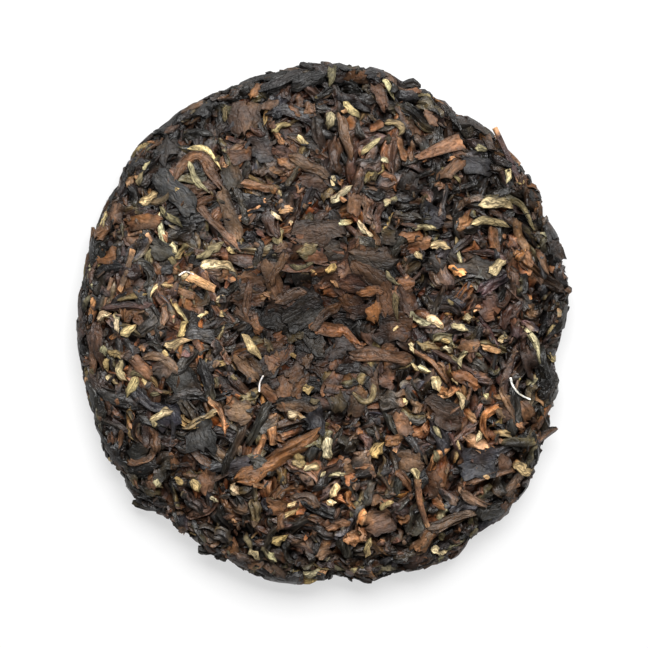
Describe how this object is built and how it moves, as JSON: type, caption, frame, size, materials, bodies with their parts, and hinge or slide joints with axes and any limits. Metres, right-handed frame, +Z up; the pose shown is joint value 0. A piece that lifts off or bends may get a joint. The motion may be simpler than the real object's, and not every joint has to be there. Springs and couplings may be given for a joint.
{
  "type": "pressed tea cake",
  "caption": "Round disc of whole oolong tea leaves pressed together, with a shallow dimple in its upper face and a ragged leafy rim, lying flat.",
  "frame": {"origin": "on the resting plane, under the middle of the bounding box", "axes": "+Z up, out of the dimpled face; +Y to the picture's top and +X to its right"},
  "size_m": [0.1962, 0.206, 0.0228],
  "materials": {
    "pressed_tea_leaf": "matte, dark brown to black dried leaves"
  },
  "bodies": {
    "root": {"tea_cake": "pressed_tea_leaf"}
  },
  "joints": []
}
